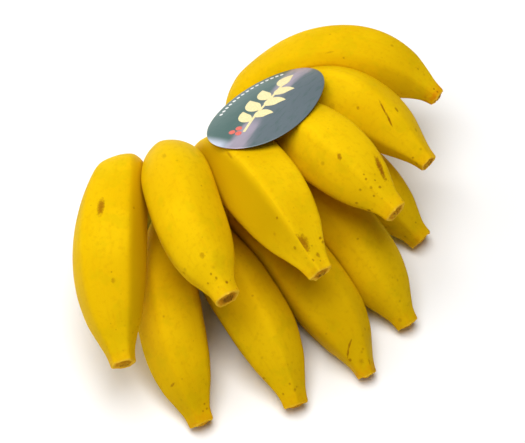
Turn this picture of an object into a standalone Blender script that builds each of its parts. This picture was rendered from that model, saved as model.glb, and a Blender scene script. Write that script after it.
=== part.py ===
"""A hand of apple bananas: eleven short plump fingers in two rows on one crown, with an oval label.

The hand lies on its cut crown and on the lower row of fingers, hollow side down. Metres, +Z up,
+X along the crown, the blossom ends towards -Y. The origin is under the middle of the hand.
"""
import math

import bmesh
import bpy
import numpy as np
from mathutils import Matrix

MM = 0.001

# Sizes of one finger, in millimetres
TIP_PROFILE = (
    (0.0, 5.0), (0.8, 6.0), (3.0, 6.4), (6.0, 6.9), (11.0, 9.0), (20.0, 13.3),
    (32.0, 16.6), (44.0, 18.1), (58.0, 18.7), (75.0, 18.9), (200.0, 18.9),
)
NECK_PROFILE = (
    (0.0, 6.5), (10.0, 6.9), (20.0, 9.0), (32.0, 13.5), (45.0, 17.0), (60.0, 20.0), (200.0, 21.0),
)
TIP_LENGTH = 6.0
END_REACH = 14.0
PROFILE_BLEND = 10
RIDGES = 5
RIDGE_SHARPNESS = 8
RIDGE_HEIGHT = 0.8
RIDGE_LEVEL = 1.04
ROUND_NECK_LENGTH = 45.0
TIP_RIDGE_GAIN = 1.0
TIP_RIDGE_REACH = 15.0

# How closely the fingers press on each other, in millimetres
CONTACT_GAP = 0.5
CONTACT_SOFTNESS = 0.5
TABLE_HEIGHT = 0.0

# The contact is sought between these shares of the free radius, in this many halvings, and counts
# as no contact beyond the last share
CONTACT_LEAST = 0.2
CONTACT_MOST = 1.5
CONTACT_HALVINGS = 14
NO_CONTACT = 1.45

# How finely the fingers are faceted
SIDES = 20
NECK_STATIONS = (0.0, 5.0, 11.0, 18.0)
TIP_STATIONS = (24.0, 18.0, 12.0, 8.0, 5.0, 3.0, 0.8, 0.0)
STATION_STEP = 10.0
LINE_POINTS = 400
LINE_SAMPLES = 90
DIRECTION_STEP = 0.5

# Where each finger grows, in millimetres and degrees: where it leaves the crown, how it rises from
# there, its blossom end, the way that end points (heading from -Y towards +X, dip below level),
# how far back that direction holds, its plumpness, the stretch of its taper and of its neck, how
# thick its blossom end is against the usual, the turn of its ridges and how strong they are.
FINGERS = {
    "finger_u1": ((-41, 65, 10), (3, 6, 72), (-115, -18, 38), -24, 13, 77, 1.03, 1.37, 1.6, 0.95, 30, 0.55),
    "finger_u2": ((-27, 65, 10), (5, -13, 69), (-62, -34, 63), -10, 7, 66, 0.99, 1.0, 1.2, 1.08, -6, 0.3),
    "finger_u3": ((-12, 65, 10), (18, -24, 50), (-19, -53, 65), -7, 13, 63, 1.07, 1.28, 1.14, 0.89, -40, 1.0),
    "finger_u4": ((2, 65, 10), (33, -16, 52), (34, -49, 64), 4, 8, 70, 1.06, 1.12, 1.8, 0.95, 21, 0.6),
    "finger_u5": ((14, 65, 10), (34, -23, 47), (75, -30, 50), 2, 9, 83, 1.02, 1.36, 1.58, 0.79, -30, 0.45),
    "finger_u6": ((25, 69, 10), (16, -3, 38), (113, 3, 42), 14, 17, 68, 1.08, 1.2, 0.58, 0.73, 22, 0.45),
    "finger_l1": ((-35, 53, 10), (-13, -13, 22), (-95, -53, 4), -14, 25, 49, 0.92, 1.08, 1.0, 1.08, -4, 0.7),
    "finger_l2": ((-21, 53, 10), (-12, -20, 21), (-53, -75, 4), -21, 26, 46, 0.98, 1.34, 1.2, 1.0, 10, 0.7),
    "finger_l3": ((-7, 53, 10), (4, -28, 23), (-14, -85, 4), -14, 28, 48, 1.0, 1.18, 0.97, 0.8, 0, 0.45),
    "finger_l4": ((7, 53, 10), (26, -24, 22), (22, -76, 4), -4, 27, 50, 1.04, 1.1, 1.0, 0.92, 15, 0.4),
    "finger_l5": ((21, 53, 10), (35, -11, 24), (63, -42, 5), 8, 24, 54, 0.95, 1.07, 1.0, 1.1, -10, 0.5),
}

# Sizes of the crown, in millimetres
CROWN_LINE = ((-46, 65), (-25, 62.5), (0, 62), (18, 63), (31, 67))
CROWN_HALF_WIDTH = 9.0
CROWN_POINTS = 15
CROWN_END_ANGLES = (60, 30, 0, -30, -60)
CROWN_LAYERS = ((0.0, 1.5), (1.5, 0.2), (3.2, 0.0), (4.4, 1.2), (5.0, 3.4))
STUB_RADIUS = 6.5
STUB_STATIONS = (7.5, 5.0, 2.5, 0.3)
STUB_CLEARANCE = 1.4
STUB_TRIM = 0.96
STUB_TRIMS = 50
STUB_SIDES = 16

# Sizes of the oval label in millimetres, and how it lies in degrees: its middle, the heading and
# dip of its long way from +X, the dip of its short way towards the back, then how far its ends and
# sides bend down, how much more the far end does, and its twist
LABEL_HALF_LENGTH = 38.5
LABEL_HALF_WIDTH = 25.5
LABEL_THICKNESS = 0.8
LABEL_MIDDLE = (21.3, 37.3, 78.1)
LABEL_HEADING = 14.5
LABEL_LONG_DIP = 7.5
LABEL_SHORT_DIP = 25.0
LABEL_END_BEND = 2.0
LABEL_SIDE_BEND = 3.7
LABEL_FAR_BEND = 1.4
LABEL_TWIST = 1.7
LABEL_RINGS = 5
LABEL_SPOKES = 32

# Colours and roughness of the materials: skin of the upper and the lower row, cut crown, foil label
UPPER_SKIN_COLOUR = (0.86, 0.56, 0.01, 1.0)
LOWER_SKIN_COLOUR = (0.72, 0.44, 0.01, 1.0)
SKIN_ROUGHNESS = 0.45
CROWN_COLOUR = (0.42, 0.34, 0.10, 1.0)
CROWN_ROUGHNESS = 0.8
LABEL_COLOUR = (0.28, 0.34, 0.34, 1.0)
LABEL_ROUGHNESS = 0.35
LABEL_METALLIC = 0.6


def clear_scene():
    for old in list(bpy.data.objects):
        bpy.data.objects.remove(old, do_unlink=True)


def make_material(name, colour, roughness, metallic=0.0):
    material = bpy.data.materials.new(name)
    material.use_nodes = True
    shader = material.node_tree.nodes["Principled BSDF"]
    shader.inputs["Base Color"].default_value = colour
    shader.inputs["Roughness"].default_value = roughness
    shader.inputs["Metallic"].default_value = metallic
    return material


def unit(vectors):
    """Vectors scaled to length one along the last axis."""
    return vectors / np.linalg.norm(vectors, axis=-1, keepdims=True)


def smooth_curve(knots, x):
    """A rising or falling curve through the knots that never overshoots them."""
    kx, ky = np.array(knots, float).T
    slope = np.diff(ky) / np.diff(kx)
    tangent = np.zeros(len(kx))
    same_way = slope[:-1] * slope[1:] > 0
    total = slope[:-1] + slope[1:]
    inner = np.where(same_way, 2 * slope[:-1] * slope[1:] / np.where(same_way, total, 1), 0)
    tangent[1:-1] = inner
    tangent[0], tangent[-1] = slope[0], slope[-1]
    x = np.clip(x, kx[0], kx[-1])
    i = np.clip(np.searchsorted(kx, x) - 1, 0, len(kx) - 2)
    width = kx[i + 1] - kx[i]
    t = (x - kx[i]) / width
    start = ky[i] * (1 + 2 * t) * (1 - t) ** 2 + ky[i + 1] * t * t * (3 - 2 * t)
    return start + width * t * (1 - t) * (tangent[i] * (1 - t) - tangent[i + 1] * t)


def pointing(heading, dip):
    """Unit vector for a heading from -Y towards +X and a dip below level, in degrees."""
    h, d = math.radians(heading), math.radians(dip)
    return np.array([math.sin(h) * math.cos(d), -math.cos(h) * math.cos(d), -math.sin(d)])


def grow_finger(root, rise, tip, heading, dip, reach, girth, taper, neck, end, turn, edge):
    """The middle line of a finger, its radius along it and the frame that its rings are drawn in."""
    root, tip = np.array(root, float), np.array(tip, float)
    handles = (root, root + rise, tip - reach * pointing(heading, dip), tip)
    t = np.linspace(0, 1, LINE_POINTS)[:, None]
    weights = ((1 - t) ** 3, 3 * t * (1 - t) ** 2, 3 * t * t * (1 - t), t ** 3)
    line = sum(w * h for w, h in zip(weights, handles))
    run = np.concatenate([[0], np.cumsum(np.linalg.norm(np.diff(line, axis=0), axis=1))])
    finger = {
        "line": line, "run": run, "length": run[-1], "girth": girth, "taper": taper,
        "neck": neck, "end": end, "turn": math.radians(turn), "edge": edge,
        "side": unit(np.cross(handles[1] - root, tip - handles[2])),
    }
    along = np.linspace(0, run[-1], LINE_SAMPLES)
    finger["spine"] = line_point(finger, along)
    finger["spine_radius"] = radius_at(finger, along)
    return finger


def line_point(finger, along):
    return np.stack([np.interp(along, finger["run"], finger["line"][:, k]) for k in range(3)], -1)


def radius_at(finger, along):
    """Half width of the finger: the smaller of its tapering tip and its widening neck."""
    from_tip = finger["length"] - along
    stretched = np.maximum(from_tip - TIP_LENGTH, 0) / finger["taper"]
    from_tip = np.where(from_tip < TIP_LENGTH, from_tip, TIP_LENGTH + stretched)
    tip = smooth_curve(TIP_PROFILE, from_tip)
    tip = tip * (1 + (finger["end"] - 1) * np.exp((along - finger["length"]) / END_REACH))
    neck = smooth_curve(NECK_PROFILE, along / finger["neck"])
    return finger["girth"] * (tip ** -PROFILE_BLEND + neck ** -PROFILE_BLEND) ** (-1 / PROFILE_BLEND)


def ridge_factor(angle):
    """How far a five-ridged section stands out at an angle, ridges at multiples of 72 degrees."""
    faces = (np.arange(RIDGES) + 0.5) * 2 * math.pi / RIDGES
    reach = np.maximum(0, np.cos(np.asarray(angle)[..., None] - faces))
    full = np.sum(reach ** RIDGE_SHARPNESS, -1) ** (-1 / RIDGE_SHARPNESS)
    return 1 + RIDGE_HEIGHT * (full - RIDGE_LEVEL)


def finger_frame(finger, along):
    """Centres and the outward and sideways directions of the rings at the given lengths."""
    centre = line_point(finger, along)
    ahead = line_point(finger, np.minimum(along + DIRECTION_STEP, finger["length"]))
    behind = line_point(finger, np.maximum(along - DIRECTION_STEP, 0))
    tangent = unit(ahead - behind)
    outward = unit(np.cross(tangent, finger["side"]))
    return centre, outward, np.cross(outward, tangent)


def depth_in(finger, points):
    """Distance of points from a finger taken as round: below zero inside it."""
    away = np.linalg.norm(points[..., None, :] - finger["spine"], axis=-1)
    return np.min(away - finger["spine_radius"], axis=-1)


def pressed_radius(finger, others, centre, direction, free):
    """The radius along each ray where the finger meets its neighbours or the table halfway."""
    low, high = CONTACT_LEAST * free, CONTACT_MOST * free
    for _ in range(CONTACT_HALVINGS):
        middle = (low + high) / 2
        points = centre[:, None, :] + middle[..., None] * direction
        nearest = np.min([depth_in(other, points) for other in others], axis=0)
        clear = (depth_in(finger, points) + CONTACT_GAP <= nearest) & (points[..., 2] >= TABLE_HEIGHT)
        low, high = np.where(clear, middle, low), np.where(clear, high, middle)
    soft = CONTACT_SOFTNESS
    return np.where(low > NO_CONTACT * free, free, -soft * np.logaddexp(-free / soft, -low / soft))


def finger_rings(finger, others):
    """Points of the finger's skin, ring by ring from the crown to the blossom end."""
    length = finger["length"]
    steps = round((length - TIP_STATIONS[0] - NECK_STATIONS[-1]) / STATION_STEP)
    middle = np.linspace(NECK_STATIONS[-1], length - TIP_STATIONS[0], steps + 1)[1:-1]
    along = np.concatenate([NECK_STATIONS, middle, length - np.array(TIP_STATIONS)])
    angle = np.linspace(0, 2 * math.pi, SIDES, endpoint=False)
    centre, outward, sideways = finger_frame(finger, along)
    turned = angle + finger["turn"]
    direction = (np.cos(turned)[None, :, None] * outward[:, None, :]
                 + np.sin(turned)[None, :, None] * sideways[:, None, :])
    angular = finger["edge"] * np.clip(along / ROUND_NECK_LENGTH, 0, 1) ** 2
    angular *= 1 + TIP_RIDGE_GAIN * np.exp((along - length) / TIP_RIDGE_REACH)
    free = radius_at(finger, along)[:, None] * (1 + angular[:, None] * (ridge_factor(angle) - 1))
    radius = pressed_radius(finger, others, centre, direction, free)
    return centre[:, None, :] + radius[..., None] * direction


def link_object(name, mesh, material):
    mesh.materials.append(material)
    thing = bpy.data.objects.new(name, mesh)
    bpy.context.collection.objects.link(thing)
    return thing


def mesh_from_rings(name, rings):
    """A closed mesh skinned over equal rings of points in millimetres, capped flat at both ends."""
    form = bmesh.new()
    loops = [[form.verts.new(tuple(point * MM)) for point in ring] for ring in rings]
    count = len(loops[0])
    for lower, upper in zip(loops, loops[1:]):
        for i in range(count):
            j = (i + 1) % count
            form.faces.new((lower[i], lower[j], upper[j], upper[i]))
    form.faces.new(loops[0])
    form.faces.new(list(reversed(loops[-1])))
    bmesh.ops.recalc_face_normals(form, faces=form.faces)
    mesh = bpy.data.meshes.new(name)
    form.to_mesh(mesh)
    form.free()
    mesh.shade_smooth()
    return mesh


def build_fingers():
    grown = {name: grow_finger(*habit) for name, habit in FINGERS.items()}
    for name, finger in grown.items():
        others = [other for other in grown.values() if other is not finger]
        colour = UPPER_SKIN_COLOUR if name.startswith("finger_u") else LOWER_SKIN_COLOUR
        skin = make_material(name + "_skin", colour, SKIN_ROUGHNESS)
        link_object(name, mesh_from_rings(name, finger_rings(finger, others)), skin)
    return grown


def build_crown(grown, material):
    """A low pad with a flat cut face underneath and a short stub below each finger."""
    x = np.linspace(CROWN_LINE[0][0], CROWN_LINE[-1][0], CROWN_POINTS)
    middle = np.stack([x, smooth_curve(CROWN_LINE, x)], -1)
    along = unit(np.gradient(middle, axis=0))
    across = np.stack([-along[:, 1], along[:, 0]], -1)
    rings = []
    for height, inset in CROWN_LAYERS:
        half = CROWN_HALF_WIDTH - inset
        ring = [middle[i] + half * across[i] for i in range(len(x))]
        ring += [end_point(middle[-1], along[-1], across[-1], half, a) for a in CROWN_END_ANGLES]
        ring += [middle[i] - half * across[i] for i in reversed(range(len(x)))]
        ring += [end_point(middle[0], -along[0], -across[0], half, a) for a in CROWN_END_ANGLES]
        rings.append([np.array([px, py, height]) for px, py in ring])
    crown = link_object("crown", mesh_from_rings("crown", rings), material)
    for name, finger in grown.items():
        others = [other for other in grown.values() if other is not finger]
        stub = link_object(name + "_stub", mesh_from_rings(name, stub_rings(finger, others)), material)
        stub.hide_render = True
        stub.display_type = 'WIRE'
        join = crown.modifiers.new(name, 'BOOLEAN')
        join.operation = 'UNION'
        join.object = stub
    return crown


def end_point(centre, forward, left, half, angle):
    """A point on the rounded end of the crown, at an angle from straight ahead."""
    a = math.radians(angle)
    return centre + half * (math.cos(a) * forward + math.sin(a) * left)


def stub_rings(finger, others):
    """The stub that a finger grows from: it ends just short of it and keeps off the other fingers."""
    root, rise = finger["line"][0], unit(finger["line"][1] - finger["line"][0])
    spread = finger["side"]
    other_way = np.cross(rise, spread)
    turns = np.linspace(0, 2 * math.pi, STUB_SIDES, endpoint=False)[:, None]
    direction = np.cos(turns) * spread + np.sin(turns) * other_way
    rings = []
    for back in STUB_STATIONS:
        centre = root - back * rise
        radius = np.full(STUB_SIDES, STUB_RADIUS)
        for _ in range(STUB_TRIMS):
            points = centre + radius[:, None] * direction
            room = np.min([depth_in(other, points) for other in others], axis=0)
            radius = np.where(room < STUB_CLEARANCE, radius * STUB_TRIM, radius)
        rings.append(centre + radius[:, None] * direction)
    return rings


def label_point(across, up):
    """A point of the label's underside, for shares of its half length and half width."""
    heading, dip = math.radians(LABEL_HEADING), math.radians(LABEL_LONG_DIP)
    level = math.cos(dip)
    long_way = np.array([math.cos(heading) * level, math.sin(heading) * level, -math.sin(dip)])
    lean = math.radians(LABEL_SHORT_DIP)
    facing = unit(np.cross(long_way, (0.0, math.cos(lean), -math.sin(lean))))
    short_way = np.cross(facing, long_way)
    sag = (LABEL_END_BEND * across ** 2 + LABEL_SIDE_BEND * up ** 2
           + LABEL_FAR_BEND * across ** 3 + LABEL_TWIST * across * up)
    return (np.array(LABEL_MIDDLE) + LABEL_HALF_LENGTH * across * long_way
            + LABEL_HALF_WIDTH * up * short_way - sag * facing)


def build_label(material):
    """A thin oval sheet that bends over the shoulders of the upper fingers."""
    form = bmesh.new()
    hub = form.verts.new(tuple(label_point(0, 0) * MM))
    inner = None
    for ring in range(1, LABEL_RINGS + 1):
        share = ring / LABEL_RINGS
        outer = []
        for i in range(LABEL_SPOKES):
            turn = 2 * math.pi * i / LABEL_SPOKES
            point = label_point(share * math.cos(turn), share * math.sin(turn))
            outer.append(form.verts.new(tuple(point * MM)))
        for i in range(LABEL_SPOKES):
            j = (i + 1) % LABEL_SPOKES
            if inner:
                form.faces.new((inner[i], outer[i], outer[j], inner[j]))
            else:
                form.faces.new((hub, outer[i], outer[j]))
        inner = outer
    mesh = bpy.data.meshes.new("label")
    form.to_mesh(mesh)
    form.free()
    mesh.shade_smooth()
    label = link_object("label", mesh, material)
    sheet = label.modifiers.new("sheet", 'SOLIDIFY')
    sheet.thickness = LABEL_THICKNESS * MM
    sheet.offset = 1.0
    return label


def centre_on_origin():
    """Slide everything level, so that the box around the hand stands centred on the origin."""
    shown = [thing for thing in bpy.data.objects if not thing.hide_render]
    points = np.array([vertex.co for thing in shown for vertex in thing.data.vertices])
    middle = (points.min(axis=0) + points.max(axis=0)) / 2
    for thing in bpy.data.objects:
        thing.data.transform(Matrix.Translation((-middle[0], -middle[1], 0.0)))


def main():
    clear_scene()
    grown = build_fingers()
    build_crown(grown, make_material("crown_flesh", CROWN_COLOUR, CROWN_ROUGHNESS))
    build_label(make_material("label_foil", LABEL_COLOUR, LABEL_ROUGHNESS, LABEL_METALLIC))
    centre_on_origin()


main()
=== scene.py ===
"""The looks of a hand of apple bananas: ridged ripe skins with freckles, marks and blossom scars,
a fibrous crown that the necks grow into, and a printed foil label over the upper row.

Lengths below are millimetres in the part's own frame, and Blender gets them in metres.
"""
import math

import bmesh
import bpy
import numpy as np
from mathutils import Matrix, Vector


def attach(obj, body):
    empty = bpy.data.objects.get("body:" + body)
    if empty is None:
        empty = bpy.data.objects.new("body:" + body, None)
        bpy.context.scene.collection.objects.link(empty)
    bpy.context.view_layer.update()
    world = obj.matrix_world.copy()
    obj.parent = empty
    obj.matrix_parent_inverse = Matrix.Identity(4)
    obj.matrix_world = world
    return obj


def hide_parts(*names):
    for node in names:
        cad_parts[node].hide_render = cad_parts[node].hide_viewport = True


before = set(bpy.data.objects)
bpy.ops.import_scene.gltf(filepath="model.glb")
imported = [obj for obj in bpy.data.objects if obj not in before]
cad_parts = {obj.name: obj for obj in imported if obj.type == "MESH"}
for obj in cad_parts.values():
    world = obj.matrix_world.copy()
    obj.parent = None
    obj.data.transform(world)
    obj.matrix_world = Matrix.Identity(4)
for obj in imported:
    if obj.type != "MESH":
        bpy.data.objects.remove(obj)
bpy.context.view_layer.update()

MM = 0.001

# Where the numbers of the part's source lie in its frame, in millimetres
HAND_SHIFT = np.array([1.061, 0.990, 0.0])

# The camera: what it looks at before that shift, in metres, from where, and how wide it sees
CAMERA_TARGET = (-0.010, 0.002, 0.041)
CAMERA_DISTANCE = 0.95
CAMERA_AZIMUTH = -40.0
CAMERA_ELEVATION = 55.0
SENSOR_WIDTH = 36.0
LENS = 127.7

# The profiles of one finger, in millimetres, as in the part but with a softer edge at the tip
TIP_PROFILE = (
    (0.0, 5.6), (0.4, 6.05), (1.2, 6.25), (3.0, 6.4), (6.0, 6.9), (11.0, 9.0), (20.0, 13.3),
    (32.0, 16.6), (44.0, 18.1), (58.0, 18.7), (75.0, 18.9), (200.0, 18.9),
)
NECK_PROFILE = (
    (0.0, 6.5), (10.0, 6.9), (20.0, 9.0), (32.0, 13.5), (45.0, 17.0), (60.0, 20.0), (200.0, 21.0),
)
TIP_LENGTH = 6.0
END_REACH = 14.0
PROFILE_BLEND = 10

# The ridges, a little sharper than the part's because the skins are drawn finer
RIDGES = 5
RIDGE_SHARPNESS = 12
RIDGE_HEIGHT = 1.0
RIDGE_LEVEL = 1.05
ROUND_NECK_LENGTH = 55.0
TIP_RIDGE_GAIN = 0.3
TIP_RIDGE_REACH = 15.0

# How closely the fingers press on each other, in millimetres, and how the contact is sought
CONTACT_GAP = 0.3
CONTACT_SOFTNESS = 0.5
CONTACT_LEAST = 0.2
CONTACT_MARGIN = 3.0
CONTACT_HALVINGS = 13
NEIGHBOUR_REACH = 46.0
POINTS_AT_ONCE = 400

# Where each finger grows: root, rise, blossom end, heading, dip, reach, plumpness, taper, neck,
# thickness of its end, the turn of its ridges and their strength, as in the part
FINGERS = {
    "finger_u1": ((-41, 65, 10), (3, 6, 72), (-115, -18, 38),
                  -24, 13, 77, 1.03, 1.37, 1.6, 0.95, 30, 0.55),
    "finger_u2": ((-27, 65, 10), (5, -13, 69), (-62, -34, 63),
                  -10, 7, 66, 0.99, 1.0, 1.2, 1.08, -6, 0.3),
    "finger_u3": ((-12, 65, 10), (18, -24, 50), (-19, -53, 65),
                  -7, 13, 63, 1.07, 1.28, 1.14, 0.89, -40, 1.0),
    "finger_u4": ((2, 65, 10), (33, -16, 52), (34, -49, 64),
                  4, 8, 70, 1.06, 1.12, 1.8, 0.95, 21, 0.6),
    "finger_u5": ((14, 65, 10), (34, -23, 47), (75, -30, 50),
                  2, 9, 83, 1.02, 1.36, 1.58, 0.79, -30, 0.45),
    "finger_u6": ((25, 69, 10), (16, -3, 38), (113, 3, 42),
                  14, 17, 68, 1.08, 1.2, 0.58, 0.73, 22, 0.45),
    "finger_l1": ((-35, 53, 10), (-13, -13, 22), (-95, -53, 4),
                  -14, 25, 49, 0.92, 1.08, 1.0, 1.08, -4, 0.7),
    "finger_l2": ((-21, 53, 10), (-12, -20, 21), (-53, -75, 4),
                  -21, 26, 46, 0.98, 1.34, 1.2, 1.0, 10, 0.7),
    "finger_l3": ((-7, 53, 10), (4, -28, 23), (-14, -85, 4),
                  -14, 28, 48, 1.0, 1.18, 0.97, 0.8, 0, 0.45),
    "finger_l4": ((7, 53, 10), (26, -24, 22), (22, -76, 4),
                  -4, 27, 50, 1.04, 1.1, 1.0, 0.92, 15, 0.4),
    "finger_l5": ((21, 53, 10), (35, -11, 24), (63, -42, 5),
                  8, 24, 54, 0.95, 1.07, 1.0, 1.1, -10, 0.5),
}

# How finely the skins are drawn
LINE_POINTS = 400
LINE_SAMPLES = 150
DIRECTION_STEP = 0.5
SIDES = 120
SKIN_STATIONS = 160
TIP_STATION_STEP = 0.45
FINE_TIP_LENGTH = 9.0
TIP_CROWDING = 1.3
ROOT_OVERLAP = 3.0

# The blossom scar: how deep below the rim and how wide it is, from the rim over a groove to the
# crumbly nub in the middle, and how ragged the rim and the nub are
SCAR_PROFILE = (
    (0.0, 5.25), (0.25, 4.75), (0.45, 4.25), (0.4, 3.7), (0.15, 3.1), (-0.2, 2.5), (-0.5, 1.8),
    (-0.7, 1.1), (-0.8, 0.5), (-0.82, 0.02),
)
RIM_INSET = 0.97
RIM_WAVES = (2, 3, 5, 8, 13)
RIM_WAVE_HEIGHT = 0.4
SCAR_CRUMBLE = 0.35

# The crumbs in the scar: waves around, how far each ring shifts them, and how far each finger does
CRUMBLE_WAVES = ((7, 3, 1), (4, -2, 2))

# How dark the middle of each blossom scar is, and how orange the skin round it
USUAL_SCAR_SHADE = 0.12
SCAR_SHADES = {"finger_u2": 0.7, "finger_u3": 0.35}
USUAL_BLUSH = 0.2
BLUSHES = {"finger_u6": 0.8, "finger_l1": 0.35, "finger_l3": 0.35}

# Gentle unevenness of the skins: how high, how many waves along and around, and what makes each
# finger's waves start elsewhere
UNEVENNESS = 0.22
UNEVEN_WAVES = ((1.2, 1), (2.1, 2), (3.4, 1), (0.7, 3), (4.6, 2))
UNEVEN_ROOT_SHIFT = 1.7
UNEVEN_TIP_SHIFT = 0.31
UNEVEN_PHASE = 0.73

# Marks on the skins: place around the finger in turns, distance from the blossom end, half width
# and half length in millimetres, slant in degrees and how strong
MARKS = {
    "finger_u1": ((0.874, 74.8, 1.7, 4.2, -3, 0.9),
                  (0.93, 38.4, 1.1, 1.2, 0, 0.5), (0.925, 42.7, 0.5, 0.5, 0, 0.6)),
    "finger_u2": ((0.953, 20.5, 1.1, 1.4, -20, 0.5), (0.943, 11.6, 0.6, 0.6, 0, 0.7),
                  (0.966, 9.0, 0.6, 0.7, 0, 0.75), (0.048, 5.5, 0.8, 0.9, 0, 0.95),
                  (0.973, 73.5, 1.2, 1.4, 0, 0.35), (0.87, 9.3, 0.5, 0.5, 0, 0.6)),
    "finger_u3": ((0.004, 14.0, 3.0, 4.2, -15, 0.9), (0.94, 15.1, 0.8, 0.8, 0, 0.6),
                  (0.093, 7.2, 1.1, 1.2, 0, 0.75), (0.172, 13.8, 0.7, 0.6, 0, 0.8),
                  (0.186, 11.8, 0.7, 0.7, 0, 0.7), (0.006, 5.9, 0.7, 0.7, 0, 0.7),
                  (0.972, 29.3, 0.6, 0.6, 0, 0.7), (0.99, 67.8, 0.6, 2.6, -9, 0.55)),
    "finger_u4": ((0.793, 34.4, 1.0, 1.7, -34, 0.8), (0.72, 39.4, 1.1, 1.1, 0, 0.35),
                  (0.94, 19.5, 1.6, 5.8, -12, 1.0), (0.803, 18.9, 0.6, 0.6, 0, 0.7),
                  (0.845, 16.2, 0.5, 0.5, 0, 0.7), (0.788, 14.9, 0.7, 0.7, 0, 0.7),
                  (0.842, 12.5, 0.8, 0.7, 0, 0.75), (0.938, 14.1, 0.7, 0.7, 0, 0.7),
                  (0.813, 21.0, 0.5, 0.5, 0, 0.6), (0.754, 11.6, 0.6, 0.6, 0, 0.7),
                  (0.60, 10.0, 0.8, 1.0, 0, 0.9), (0.627, 16.3, 0.7, 0.7, 0, 0.7)),
    "finger_u5": ((0.967, 33.4, 0.45, 4.2, -23, 1.0), (0.943, 27.6, 0.5, 4.0, -25, 1.0),
                  (0.022, 28.7, 0.8, 1.5, -17, 0.85), (0.893, 44.0, 0.8, 0.9, 0, 0.6),
                  (0.072, 15.8, 0.9, 1.0, 0, 0.45), (0.82, 6.7, 0.6, 0.6, 0, 0.6),
                  (0.84, 57.6, 1.8, 1.9, 0, 0.22)),
    "finger_u6": ((0.863, 4.2, 0.5, 0.5, 0, 0.8), (0.866, 1.9, 0.5, 0.5, 0, 0.8),
                  (0.92, 32.7, 0.9, 0.8, 0, 0.4), (0.80, 61.5, 0.5, 2.2, 14, 0.35),
                  (0.897, 16.7, 0.6, 0.6, 0, 0.5)),
    "finger_l1": ((0.935, 21.4, 0.6, 2.0, -80, 0.75), (0.143, 8.4, 0.6, 0.6, 0, 0.7),
                  (0.163, 5.9, 0.6, 0.6, 0, 0.7), (0.104, 5.4, 0.6, 0.6, 0, 0.6)),
    "finger_l2": ((0.99, 54.3, 0.6, 0.6, 0, 0.5), (0.802, 18.2, 0.8, 0.8, 0, 0.55),
                  (0.98, 10.5, 0.6, 0.6, 0, 0.6), (0.866, 7.3, 0.6, 0.6, 0, 0.65)),
    "finger_l3": ((0.889, 17.2, 0.5, 2.5, -51, 0.9), (0.838, 14.1, 0.5, 2.8, -42, 0.9),
                  (0.811, 10.7, 0.8, 0.9, 0, 0.85), (0.004, 5.8, 1.0, 1.4, 0, 0.5),
                  (0.048, 20.4, 0.6, 0.6, 0, 0.6)),
    "finger_l4": ((0.815, 47.1, 0.7, 0.6, 0, 0.55), (0.73, 4.4, 1.0, 1.0, 0, 0.4)),
    "finger_l5": ((0.85, 30.0, 1.6, 2.2, 0, 0.5), (0.90, 9.0, 0.6, 0.6, 0, 0.5)),
}


def unit(vectors):
    """Vectors scaled to length one along the last axis."""
    return vectors / np.linalg.norm(vectors, axis=-1, keepdims=True)


def smooth_curve(knots, x):
    """A rising or falling curve through the knots that never overshoots them."""
    kx, ky = np.array(knots, float).T
    slope = np.diff(ky) / np.diff(kx)
    tangent = np.zeros(len(kx))
    same_way = slope[:-1] * slope[1:] > 0
    total = slope[:-1] + slope[1:]
    inner = np.where(same_way, 2 * slope[:-1] * slope[1:] / np.where(same_way, total, 1), 0)
    tangent[1:-1] = inner
    tangent[0], tangent[-1] = slope[0], slope[-1]
    x = np.clip(x, kx[0], kx[-1])
    i = np.clip(np.searchsorted(kx, x) - 1, 0, len(kx) - 2)
    width = kx[i + 1] - kx[i]
    t = (x - kx[i]) / width
    start = ky[i] * (1 + 2 * t) * (1 - t) ** 2 + ky[i + 1] * t * t * (3 - 2 * t)
    return start + width * t * (1 - t) * (tangent[i] * (1 - t) - tangent[i + 1] * t)


def pointing(heading, dip):
    """Unit vector for a heading from -Y towards +X and a dip below level, in degrees."""
    h, d = math.radians(heading), math.radians(dip)
    return np.array([math.sin(h) * math.cos(d), -math.cos(h) * math.cos(d), -math.sin(d)])


def grow_finger(root, rise, tip, heading, dip, reach, girth, taper, neck, end, turn, edge):
    """The middle line of a finger, its radius along it and the frame that its rings are drawn in."""
    root, tip = np.array(root, float), np.array(tip, float)
    handles = (root, root + rise, tip - reach * pointing(heading, dip), tip)
    t = np.linspace(0, 1, LINE_POINTS)[:, None]
    weights = ((1 - t) ** 3, 3 * t * (1 - t) ** 2, 3 * t * t * (1 - t), t ** 3)
    line = sum(w * h for w, h in zip(weights, handles))
    run = np.concatenate([[0], np.cumsum(np.linalg.norm(np.diff(line, axis=0), axis=1))])
    finger = {
        "line": line, "run": run, "length": run[-1], "girth": girth, "taper": taper,
        "neck": neck, "end": end, "turn": math.radians(turn), "edge": edge,
        "side": unit(np.cross(handles[1] - root, tip - handles[2])),
    }
    along = np.linspace(0, run[-1], LINE_SAMPLES)
    finger["spine"] = line_point(finger, along)
    finger["spine_radius"] = radius_at(finger, along)
    return finger


def line_point(finger, along):
    """Points on the middle line; below its start they carry on straight into the crown."""
    inside = np.stack([np.interp(along, finger["run"], finger["line"][:, k]) for k in range(3)], -1)
    start = unit(finger["line"][1] - finger["line"][0])
    return inside + np.minimum(along, 0)[..., None] * start


def radius_at(finger, along):
    """Half width of the finger: the smaller of its tapering tip and its widening neck."""
    from_tip = finger["length"] - along
    stretched = np.maximum(from_tip - TIP_LENGTH, 0) / finger["taper"]
    from_tip = np.where(from_tip < TIP_LENGTH, from_tip, TIP_LENGTH + stretched)
    tip = smooth_curve(TIP_PROFILE, from_tip)
    tip = tip * (1 + (finger["end"] - 1) * np.exp((along - finger["length"]) / END_REACH))
    neck = smooth_curve(NECK_PROFILE, along / finger["neck"])
    return finger["girth"] * (tip ** -PROFILE_BLEND + neck ** -PROFILE_BLEND) ** (-1 / PROFILE_BLEND)


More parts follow.
